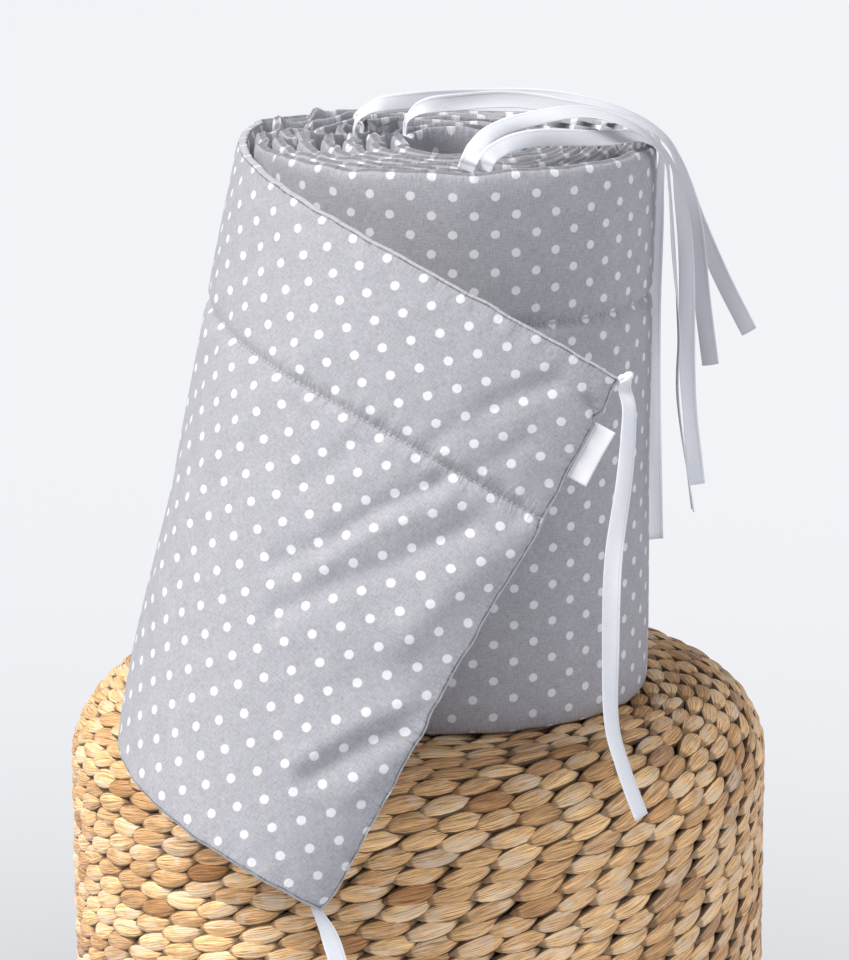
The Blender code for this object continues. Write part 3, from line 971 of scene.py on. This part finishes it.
class BUMPER_OT_strip(bpy.types.Operator):
    """Adds the padded strip, wound up with its end hanging loose"""

    bl_idname = "bumper.strip"
    bl_label = "Padded strip"

    def execute(self, context):
        settings = context.scene.bumper_strip
        strip = Strip()
        wound_s, outer_s = length_stations()
        fine_v = height_stations()
        # the inner turns keep few heights below and all of them by the top rim
        count = len(fine_v)
        keep = [0, 2, 4, 7, *range(14, count - 28, 9), *range(count - 22, count)]
        coarse_v = fine_v[keep]
        inner = self.sheet(settings, strip, wound_s, coarse_v)
        outer = self.sheet(settings, strip, outer_s, fine_v)
        points = np.concatenate((inner[0][0], outer[0][0], inner[0][1], outer[0][1]))
        start = len(wound_s) * len(coarse_v)
        back = start + len(outer_s) * len(fine_v)
        joint = range(start - len(coarse_v), start)
        faces = []
        for base, flip in ((0, False), (back, True)):
            faces += grid_faces(len(wound_s), len(coarse_v), base, flip=flip)
            faces += grid_faces(len(outer_s), len(fine_v), base + start, flip=flip)
            for j, (a, b) in enumerate(zip(keep[:-1], keep[1:])):
                ring = [joint[j], *range(start + a, start + b + 1), joint[j + 1]]
                ring = tuple(base + k for k in ring)
                faces.append(ring[::-1] if flip else ring)
        low = [*range(0, start, len(coarse_v)), *range(start, back, len(fine_v))]
        high = [*range(len(coarse_v) - 1, start, len(coarse_v)),
                *range(start + len(fine_v) - 1, back, len(fine_v))]
        faces += edge_quads(low, back) + edge_quads(high, back, flip=True)
        faces += edge_quads(range(len(coarse_v)), back, flip=True)
        faces += edge_quads(range(back - len(fine_v), back), back)
        values = {
            "cloth_place": np.concatenate((inner[1], outer[1]) * 2),
            "spot_place": np.concatenate((inner[2], outer[2]) * 2),
        }
        piece = make_piece("padded_strip", points, faces, cotton_material(settings), values)
        settle(piece, "bumper")
        return {"FINISHED"}

    def sheet(self, settings, strip, s_list, v_list):
        """Points of both faces on a grid, and where each lies on the cut cloth."""
        s, v = np.meshgrid(s_list, v_list, indexing="ij")
        inside = np.minimum(STRIP_HEIGHT / 2.0 - np.abs(v), FLAP_LENGTH - s)
        inside = np.minimum(inside, s + WOUND_LENGTH)
        cut = CUT_DEPTH * bell(s - FLAP_LENGTH, 0.034) * bell(v + 0.040, 0.070)
        middle, normal, along = strip.surface(s - cut, v)
        up = np.cross(normal, along)
        middle = middle + self.rim_shift(s, v, normal, up)
        right = np.clip((middle[..., 0] - ROLL_CENTRE[0]) / ROLL_RADIUS, 0.0, 1.0) ** 2
        bulge = RIGHT_BULGE + RIGHT_BULGE_TOP * step_up(0.03, 0.15, v)
        right = right * np.where(s < 0.0, bulge, 0.0)
        middle = middle + right[..., None] * np.array((1.0, 0.0, 0.0))
        middle = middle + self.loose_shift(settings, s - cut, v, normal, up)
        middle = middle + self.edge_groove(s, v, along, up)
        half = self.half_thickness(settings, s, v, inside)
        lift = EDGE_LIFT * np.exp(-inside / 0.0024) * step_up(-0.05, 0.12, s)
        points = []
        for face in (1.0, -1.0):
            placed = middle + normal * (half * face + lift)[..., None]
            if face < 0.0:
                placed = placed + self.edge_roll(s, v, along, up)
            points.append(placed.reshape(-1, 3))
        printed = self.printed(settings, s - cut, v).reshape(-1, 3)
        return points, np.stack((s, v, inside), axis=-1).reshape(-1, 3), printed

    def edge_groove(self, s, v, along, up):
        """Draws the stitched edge in a little, and makes it slightly uneven."""
        to_end = FLAP_LENGTH - s
        to_rim = STRIP_HEIGHT / 2.0 - np.abs(v)
        end = EDGE_PINCH * np.exp(-to_end / EDGE_PINCH_REACH)
        end += 0.0006 * bell(to_end, 0.008) * waves(v, 260.0, 61)
        end += NOTCH_DEPTH * bell(v - LABEL_TOP - 0.0012, 0.0018) * bell(to_end, 0.006)
        end += CORNER_DRAW * bell(to_end, 0.006) * bell(v + STRIP_HEIGHT / 2.0, 0.006)
        rim = EDGE_PINCH * np.exp(-to_rim / EDGE_PINCH_REACH)
        rim += 0.0004 * bell(to_rim, 0.008) * waves(s, 230.0, 62)
        return -along * end[..., None] - up * (np.sign(v) * rim)[..., None]

    def edge_roll(self, s, v, along, up):
        """The back face rolls a little past the stitched edge."""
        end = END_ROLL * bell(FLAP_LENGTH - s - 0.0014, 0.0016)
        rim = RIM_ROLL * bell(STRIP_HEIGHT / 2.0 - np.abs(v) - 0.0013, 0.0014)
        return along * end[..., None] + up * (np.sign(v) * rim)[..., None]

    def half_thickness(self, settings, s, v, inside):
        """Distance of each face from the middle surface."""
        half = settings.padding * edge_swell(inside)
        seam = v - SEAM_PLACE
        half = half * (1.0 - 0.62 * bell(seam, 0.0028) - 0.14 * bell(seam, 0.010))
        gather = np.sin(s * FULL_WAVE / GATHER_STEP + 1.6 * waves(s, 60.0, 3))
        gather = gather * (1.0 + 0.6 * waves(s, 35.0, 5))
        gather_up = np.sin(v * FULL_WAVE / END_GATHER_STEP + 1.4 * waves(v, 60.0, 4))
        near_seam = bell(np.abs(seam) - 0.0060, 0.0062)
        near_rim = bell(STRIP_HEIGHT / 2.0 - np.abs(v) - 0.0060, 0.0060)
        near_end = bell(FLAP_LENGTH - s - 0.0060, 0.0065)
        half = half + settings.pucker * gather * (0.7 * near_seam + 0.45 * near_rim)
        half = half + settings.pucker * gather_up * 0.9 * near_end
        soft = waves(s + v * 0.4, 42.0, 11) * waves(v - s * 0.3, 31.0, 12)
        half = half + 0.0005 * soft * step_up(0.004, 0.03, inside)
        return np.maximum(half, THINNEST)

    def rim_shift(self, s, v, normal, up):
        """Top rim of the wound turns: small tents, the rise behind and the dip in front."""
        angle = spiral_angle(np.maximum(-s, 0.0))
        turn = (UNROLL_ANGLE - angle) % math.tau
        count = np.floor((UNROLL_ANGLE - angle) / math.tau)
        sector = bell(turn - TENT_PLACE, TENT_SPREAD)
        inner = step_up(0.05, 0.20, -s)
        high = step_up(0.112, 0.150, v)
        place = turn / TENT_STEP + 0.22 * np.sin(count * 2.3)
        tooth = 2.0 * np.abs(place % 1.0 - 0.5) * 2.0 - 1.0
        uneven = 0.75 + 0.45 * np.sin(np.floor(place) * 4.1 + count * 1.7)
        out = TENT_OUT * sector * uneven * tooth + 0.0006 * waves(s, 130.0, 21)
        out = out * high**1.5 * inner
        peak = np.clip(tooth, 0.0, 1.0) ** 1.5
        rise = TENT_RISE * sector * uneven * peak + 0.0008 * waves(s, 150.0, 22)
        rise = rise + BACK_RISE * bell(turn - BACK_PLACE, BACK_SPREAD)
        rise = rise * high * inner
        dip = step_up(0.085, 0.150, v) * step_up(0.70, 0.80, -s) * step_up(2.6, 1.9, -s)
        rise = rise - DIP_DEPTH * bell(turn - DIP_PLACE, DIP_SPREAD) * dip
        return normal * out[..., None] + up * rise[..., None]

    def loose_shift(self, settings, s, v, normal, up):
        """Folds, belly, curl and sag of the loose end."""
        out = np.zeros_like(s)
        for height, width, places in FLAP_FOLDS:
            line = self.near_line(s, v, width * MM, np.array(places) * MM)
            out += height * MM * settings.wrinkle * line
        out += BELLY_OUT * bell(s - 0.21, 0.07) * step_up(-0.03, -0.14, v)
        out -= BELLY_IN * bell(s - 0.13, 0.06) * bell(v - 0.03, 0.06)
        curl = np.clip((s - CURL_START) / CURL_REACH, 0.0, 1.0)
        out += CURL_OUT * (curl**2 - 0.28 * curl) * bell(v + 0.040, 0.080)
        sag = SAG_DEPTH * step_up(0.26, 0.42, s) * step_up(0.02, -0.15, v)
        return normal * out[..., None] - up * sag[..., None]

    def near_line(self, s, v, width, places):
        """1 on a line through the places, fading beside it and past its ends."""
        best = np.zeros_like(s)
        for a, b in zip(places[:-1], places[1:]):
            run = b - a
            share = ((s - a[0]) * run[0] + (v - a[1]) * run[1]) / (run @ run)
            share = np.clip(share, 0.0, 1.0)
            gap = np.hypot(s - a[0] - run[0] * share, v - a[1] - run[1] * share)
            best = np.maximum(best, bell(gap, width))
        return best

    def printed(self, settings, s, v):
        """Where each point lies in the spots' print, counted in repeats."""
        tables = []
        for table in (PRINT_ROWS, PRINT_RISES):
            low, middle, high = (np.interp(s, PRINT_ALONG, row) for row in table)
            part = np.clip(np.abs(v) / PRINT_HEIGHT, 0.0, 1.3)
            tables.append(middle + (np.where(v < 0.0, low, high) - middle) * part)
        rows, rises = tables
        wound = s < PRINT_ALONG[0]
        rows = np.where(wound, PRINT_WOUND_ALONG[0] * s + PRINT_WOUND_ALONG[1], rows)
        rises = np.where(wound, PRINT_WOUND_UP[0] * v + PRINT_WOUND_UP[1], rises)
        places = (rows * settings.spot_along, rises * settings.spot_up, rows * 0.0)
        return np.stack(places, axis=-1)


def smooth_path(knots, spans):
    """Points of a smooth curve through the knots, with any extra values along."""
    knots = [np.array(knot, float) for knot in knots]
    last = len(knots) - 1
    path = []
    for i in range(last):
        a, b, c, d = (knots[min(max(k, 0), last)] for k in (i - 1, i, i + 1, i + 2))
        for k in range(spans):
            t = k / spans
            row = 2.0 * b + (c - a) * t + (2.0 * a - 5.0 * b + 4.0 * c - d) * t * t
            path.append(0.5 * (row + (3.0 * b - a - 3.0 * c + d) * t**3))
    path.append(knots[last])
    return np.array(path)


class BUMPER_OT_ties(bpy.types.Operator):
    """Adds the tie tapes sewn into the strip's edges"""

    bl_idname = "bumper.ties"
    bl_label = "Tie tapes"

    def execute(self, context):
        settings = context.scene.bumper_ties
        strip = Strip()
        material = tape_material(settings)
        roots = self.corner_roots(strip)
        for name, turns in RIM_TAPE_TURNS.items():
            roots[name] = self.rim_root(turns)
        for name, knots in TAPES.items():
            knots = np.array(knots) * (MM, MM, MM, 1.0)
            path = smooth_path([*roots[name], *knots], PATH_SPANS)
            piece, length = self.ribbon(settings, name, path, material)
            settle(piece, name)
        return {"FINISHED"}

    def rim_root(self, turns):
        """Where a tape leaves the rim, a number of turns in from the unrolling point."""
        angle = np.array(math.tau * turns)
        point = spiral_point(angle)
        along = unit(spiral_point(angle - 0.01) - spiral_point(angle + 0.01))
        lean = math.degrees(math.atan2(abs(along[0]), abs(along[1])))
        top = point[2] + STRIP_HEIGHT / 2.0 - TAPE_GAP
        leaning = 0.0 if turns > 2.0 else 0.4
        return [(point[0] + rise * leaning, point[1], top + rise, lean) for rise in TAPE_RISES]

    def corner_roots(self, strip):
        """Where the two tapes leave the loose end's corners."""
        corner = strip.surface(FLAP_LENGTH, STRIP_HEIGHT / 2.0)[0]
        top = corner + np.array((TAPE_WIDTH * 0.36, -0.0005, -TAPE_GAP))
        low, normal, along = strip.surface(FLAP_LENGTH - TAPE_WIDTH / 2.0, -STRIP_HEIGHT / 2.0)
        down = unit(np.cross(along, normal))
        low = low + down * TAPE_GAP
        return {
            "tie_flap_top": [(top[0], top[1], top[2] - drop, 62) for drop in TAPE_RISES],
            "tie_flap_bottom": [(*(low + down * drop), 90) for drop in TAPE_RISES],
        }

    def ribbon(self, settings, name, path, material):
        """A closed ribbon along a path of points and width angles."""
        title = name + "_tape"
        points = path[:, :3]
        along = unit(np.gradient(points, axis=0))
        back = np.array((0.0, 1.0, 0.0))
        level = unit(back - along * (along @ back)[:, None])
        side = np.cross(along, level)
        run = np.concatenate(((0.0,), np.cumsum(np.linalg.norm(np.diff(points, axis=0), axis=1))))
        wobble = 8.0 * waves(run, 55.0, sum(title.encode())) * step_up(0.01, 0.04, run)
        angle = np.radians(path[:, 3] + wobble)[:, None]
        width = level * np.cos(angle) + side * np.sin(angle)
        thick = unit(np.cross(along, width))
        length = float(run[-1])
        neck = TAPE_NECKS.get(name, USUAL_NECK)
        pinch = neck + (1.0 - neck) * step_up(0.002, 0.030, run)
        # painted light and shade along the tape
        tone = between(TAPE_PAINTED_LIGHT[name], run / length)
        sway = TAPE_CUP * np.sin(run * 41.0 + 0.9 * len(title))
        fold = (1.0 - pinch) * TAPE_FOLD
        rows = []
        places = []
        for face in (1.0, -1.0):
            for share in TAPE_SHARES if face > 0 else TAPE_SHARES[::-1]:
                half = settings.tape_thickness / 2.0 * (1.0 if abs(share) < 0.99 else 0.35)
                cup = sway * (share**2 - 0.5) + fold * (share**2 - 0.4)
                across = share * TAPE_WIDTH / 2.0
                offset = thick * (half * face + cup)[:, None] + width * (across * pinch)[:, None]
                rows.append(points + offset)
                places.append(np.stack((run, np.full_like(run, across), run * 0.0), -1))
        body = np.stack(rows, axis=1)
        count = body.shape[1]
        faces = grid_faces(len(points), count, wrap=True, flip=True)
        last = (len(points) - 1) * count
        for i in range(count // 2 - 1):
            k = count - 1 - i
            faces.append((i, k, k - 1, i + 1))
            faces.append((last + i, last + i + 1, last + k - 1, last + k))
        body = body.reshape(-1, 3)
        place = np.stack(places, axis=1).reshape(-1, 3)
        painted_levels = np.repeat(tone, count)
        if name in KNOTS:
            ball, ball_faces = self.knot(points[0], len(body))
            body = np.concatenate((body, ball))
            place = np.concatenate((place, (ball - points[0]) * (1.0, 0.4, 1.0)))
            painted_levels = np.concatenate((painted_levels, np.full(len(ball), KNOT_TONE)))
            faces += ball_faces
        values = {"cloth_place": place, "tape_painted_light": painted_levels}
        return make_piece(title, body, faces, material, values), length

    def knot(self, centre, start):
        """A small gathered knot of tape round a tape's root."""
        across = np.linspace(0.0, math.pi, 17)
        around = np.linspace(0.0, math.tau, 29)[:-1]
        a, w = np.meshgrid(across, around, indexing="ij")
        waist = 1.0 - 0.30 * bell(a - 1.45, 0.20) + 0.16 * np.sin(5.0 * w + 2.0 * a) * np.sin(a)
        r = np.maximum(np.sin(a), 0.03) * waist * KNOT_WIDTH
        ball = np.stack((-np.cos(a) * KNOT_LENGTH, r * np.cos(w), r * np.sin(w)), axis=-1)
        ball[..., 2] += ball[..., 0] * 0.45
        faces = grid_faces(*a.shape, start, wrap=True, flip=True)
        last = start + a.size - len(around)
        faces += [ring_face(start, len(around), flip=True), ring_face(last, len(around))]
        return ball.reshape(-1, 3) + centre, faces


class BUMPER_OT_label(bpy.types.Operator):
    """Adds the blank label in the loose end's edge"""

    bl_idname = "bumper.label"
    bl_label = "Label"

    def execute(self, context):
        settings = context.scene.bumper_ties
        strip = Strip()
        reach = np.linspace(0.0, 1.0, 15)
        rise = np.linspace(0.0, 1.0, 25)
        r, t = np.meshgrid(reach, rise, indexing="ij")
        v = LABEL_TOP - LABEL_LENGTH * (1.0 - t)
        point, normal, along = strip.surface(np.full_like(v, FLAP_LENGTH), v)
        middle = point + along * (TAPE_GAP + LABEL_REACH * r)[..., None]
        out = 0.0004 * np.sin(t * 5.0 + r * 2.0) * r + 0.0042 * r**1.5 + 0.0018
        middle = middle + normal * out[..., None]
        half = LABEL_HALF_THICKNESS * np.sqrt(np.clip(1.0 - r**10, 0.02, 1.0))
        half = half * (1.0 - 0.25 * bell(r - 0.12, 0.05))
        points = [middle + normal * (half * face)[..., None] for face in (1.0, -1.0)]
        rows, columns = r.shape
        faces = grid_faces(rows, columns)
        faces += grid_faces(rows, columns, rows * columns, flip=True)
        faces += close_sheet(rows, columns)
        place = np.stack((r * LABEL_REACH, t * LABEL_LENGTH, r * 0.0), -1)
        values = {"cloth_place": np.concatenate((place, place)).reshape(-1, 3)}
        material = label_material(settings)
        piece = make_piece("satin_label", points, faces, material, values)
        settle(piece, "label")
        return {"FINISHED"}


# ---- the pouf ----


def pouf_outline(length, inset=0.0):
    """Radius, height and outward direction at lengths up the pouf's side and top."""
    foot = POUF_FOOT * math.pi / 2.0
    side = POUF_HEIGHT - POUF_FOOT - POUF_SHOULDER
    bend = POUF_SHOULDER * math.pi / 2.0
    top = POUF_RADIUS - POUF_SHOULDER
    length = np.asarray(length, float)
    stops = np.cumsum((0.0, foot, side, bend, top))
    tilt = np.interp(length, stops, np.array((-1.0, 0.0, 0.0, 1.0, 1.0)) * math.pi / 2.0)
    out_r, out_z = np.cos(tilt), np.sin(tilt)
    below = length < foot
    bend_r = np.where(below, POUF_FOOT, POUF_SHOULDER)
    centre_z = np.where(below, POUF_FOOT, POUF_HEIGHT - POUF_SHOULDER)
    past = np.maximum(length - foot - side - bend, 0.0)
    radius = POUF_RADIUS - bend_r * (1.0 - out_r) - past
    on_side = (length >= foot) & (length <= foot + side)
    height = np.where(on_side, POUF_FOOT + length - foot, centre_z + bend_r * out_z)
    return radius - inset * out_r, height - inset * out_z, out_r, out_z


POUF_OUTLINE_LENGTH = (POUF_FOOT + POUF_SHOULDER) * math.pi / 2.0 + (
    POUF_HEIGHT - POUF_FOOT - POUF_SHOULDER) + (POUF_RADIUS - POUF_SHOULDER)


# Where each piece of the weave starts and stops, measured along that outline
BANDS = {"woven_side_low": (0.0, 0.165), "woven_side_high": (0.165, 0.335),
         "woven_top": (0.335, 1.0)}
FIRST_ROW = 0.006
LAST_GAP = 0.016

# One leaf: stations along it and round it, and how far each stands out
LEAF_ALONG = np.array((-1.0, -0.93, -0.80, -0.58, -0.30, 0.0, 0.30, 0.58, 0.80, 0.93, 1.0))
LEAF_ROUND = np.array((-0.50, -0.45, -0.26, 0.0, 0.26, 0.45, 0.50, 0.0))
LEAF_CROWN = np.array((-0.15, 0.46, 0.86, 1.0, 0.86, 0.46, -0.15, -0.8))
LEAF_THICKNESS = 0.0036
LEAF_SINK = 0.0038
LEAF_TIP_SINK = 0.0021
LEAF_TILT = 0.0013
SIDE_PROUD = 0.0019
FIBRE_WIDTH = 0.010
BACKING_INSET = 0.0062


class BUMPER_OT_pouf(bpy.types.Operator):
    """Adds the round pouf twined from dried leaves"""

    bl_idname = "bumper.pouf"
    bl_label = "Woven pouf"

    def execute(self, context):
        settings = context.scene.bumper_pouf
        picks = np.random.default_rng(settings.seed)
        straw = straw_material(settings)
        count = int((POUF_OUTLINE_LENGTH - LAST_GAP) / settings.row_pitch)
        rows = [FIRST_ROW + settings.row_pitch * (i + 0.5) for i in range(count)]
        for name, (low, high) in BANDS.items():
            leaves = []
            for length in rows:
                if low <= length < high:
                    leaves += self.row(settings, picks, length)
            piece = self.join_leaves(name, leaves, straw)
            settle(piece, "pouf")
        settle(self.backing(), "pouf")
        return {"FINISHED"}

    def row(self, settings, picks, length):
        """Places of the leaves of one twined row."""
        radius = float(pouf_outline(length)[0])
        number = max(int(round(math.tau * radius / settings.leaf_pitch)), 5)
        pitch = math.tau / number
        start = picks.uniform(0.0, 1.0)
        leaves = []
        for k in range(number):
            leaves.append({
                "turn": (k + start + picks.uniform(-0.09, 0.09)) * pitch,
                "length": length + picks.uniform(-0.0006, 0.0006),
                "long": radius * pitch * picks.uniform(1.46, 1.64),
                "high": settings.row_pitch * picks.uniform(1.28, 1.44),
                "lean": settings.leaf_lean + picks.uniform(-0.08, 0.08),
                "out": picks.uniform(-0.0006, 0.0004),
                "tone": float(np.clip(picks.normal(0.70, 0.26), 0.0, 1.0)),
                "grey": float(np.clip(picks.normal(-0.18, 0.42), 0.0, 1.0)),
                "seed": picks.uniform(0.0, 1.0),
            })
        return leaves

    def join_leaves(self, name, leaves, material):
        """One mesh of all the leaves, each a pointed and crowned lens."""
        a, wide = np.meshgrid(LEAF_ALONG, LEAF_ROUND, indexing="ij")
        fat = (1.0 - np.abs(a) ** 2.15) * 0.97 + 0.03
        leaf = {key: np.array([row[key] for row in leaves])[:, None, None] for key in leaves[0]}
        u = a * leaf["long"] / 2.0
        skew = 0.30 * np.sin(a * 2.4 + 6.0 * leaf["seed"])
        q = fat * (wide + skew * (0.5 - np.abs(wide)) * 0.5) * leaf["high"]
        twist = 1.0 + 0.5 * wide * np.sin(6.0 * leaf["seed"] + 2.0)
        crown = LEAF_CROWN * np.sqrt(fat) * LEAF_THICKNESS * np.where(LEAF_CROWN > 0.0, twist, 1.0)
        x = u * np.cos(leaf["lean"]) - q * np.sin(leaf["lean"])
        y = u * np.sin(leaf["lean"]) + q * np.cos(leaf["lean"])
        place = np.clip(leaf["length"] + y, 0.001, POUF_OUTLINE_LENGTH - 0.001)
        radius, height, out_r, out_z = pouf_outline(place)
        sink = LEAF_SINK + LEAF_TIP_SINK * np.abs(a) ** 2.6 + LEAF_TILT * a - leaf["out"]
        sink = sink - SIDE_PROUD * (1.0 - out_z**4) - crown
        turn = leaf["turn"] + x / np.maximum(pouf_outline(leaf["length"])[0], 0.008)
        r = radius - sink * out_r
        points = np.stack((r * np.cos(turn), r * np.sin(turn), height - sink * out_z), axis=-1)
        number, rows, columns = points.shape[:3]
        cell = np.array(grid_faces(rows, columns, wrap=True))
        faces = (cell[None] + (np.arange(number) * rows * columns)[:, None, None]).reshape(-1, 4)
        faces = faces.tolist()
        for first in range(0, number * rows * columns, rows * columns):
            faces.append(ring_face(first, columns))
            faces.append(ring_face(first + (rows - 1) * columns, columns, flip=True))
        fibres = np.broadcast_arrays(u, wide * FIBRE_WIDTH, leaf["seed"])
        values = {
            "fibre_place": np.stack(fibres, axis=-1).reshape(-1, 3),
            "leaf_tone": np.broadcast_to(leaf["tone"], x.shape).ravel(),
            "leaf_grey": np.broadcast_to(leaf["grey"], x.shape).ravel(),
            # how deep each point sinks, for the painted shade in the gaps
            "leaf_gap_shade": np.clip((sink - 0.0023) / 0.0026, 0.0, 1.0).ravel(),
        }
        return make_piece(name, points, faces, material, values)

    def backing(self):
        """Body just behind the leaves, closed below and above, painted dark for the shade in the
        gaps.
        """
        lengths = np.linspace(0.0, POUF_OUTLINE_LENGTH, 90)
        radius, height, _, _ = pouf_outline(lengths, BACKING_INSET)
        radius = np.concatenate(((0.0005,), np.maximum(radius, 0.0005)))
        height = np.concatenate(((0.0,), np.maximum(height, 0.0)))
        turns = np.linspace(0.0, math.tau, 121)[:-1]
        r, t = np.meshgrid(radius, turns, indexing="ij")
        z = np.repeat(height[:, None], len(turns), axis=1)
        points = np.stack((r * np.cos(t), r * np.sin(t), z), axis=-1)
        faces = grid_faces(len(radius), len(turns), wrap=True, flip=True)
        last = (len(radius) - 1) * len(turns)
        faces += [ring_face(0, len(turns), flip=True), ring_face(last, len(turns))]
        piece = make_piece("straw_body", points, faces, backing_material())
        return piece


# ---- sidebar and registration ----


class BUMPER_PT_sidebar(bpy.types.Panel):
    """Lists the pieces and their settings"""

    bl_idname = "BUMPER_PT_sidebar"
    bl_label = "Rolled crib bumper"
    bl_space_type = "VIEW_3D"
    bl_region_type = "UI"
    bl_category = "Bumper"

    def draw(self, context):
        scene = context.scene
        for name, operators in SECTIONS.items():
            box = self.layout.box()
            settings = getattr(scene, name)
            for key in settings.__annotations__:
                box.prop(settings, key)
            for operator in operators:
                box.operator(operator.bl_idname)


SETTINGS = {
    "bumper_stage": StageSettings,
    "bumper_strip": BumperSettings,
    "bumper_ties": TieSettings,
    "bumper_pouf": PoufSettings,
}
SECTIONS = {
    "bumper_stage": (BUMPER_OT_stage,),
    "bumper_strip": (BUMPER_OT_strip,),
    "bumper_ties": (BUMPER_OT_ties, BUMPER_OT_label),
    "bumper_pouf": (BUMPER_OT_pouf,),
}
OPERATORS = [operator for group in SECTIONS.values() for operator in group]


def register():
    for item in [*SETTINGS.values(), *OPERATORS, BUMPER_PT_sidebar]:
        bpy.utils.register_class(item)
    for name, item in SETTINGS.items():
        setattr(bpy.types.Scene, name, PointerProperty(type=item))


def unregister():
    for name in SETTINGS:
        delattr(bpy.types.Scene, name)
    for item in [BUMPER_PT_sidebar, *reversed(OPERATORS), *reversed(SETTINGS.values())]:
        bpy.utils.unregister_class(item)


def main():
    register()
    make_groups()
    bpy.ops.bumper.stage()
    bpy.ops.bumper.strip()
    bpy.ops.bumper.ties()
    bpy.ops.bumper.label()
    bpy.ops.bumper.pouf()


if __name__ == "__main__":
    main()
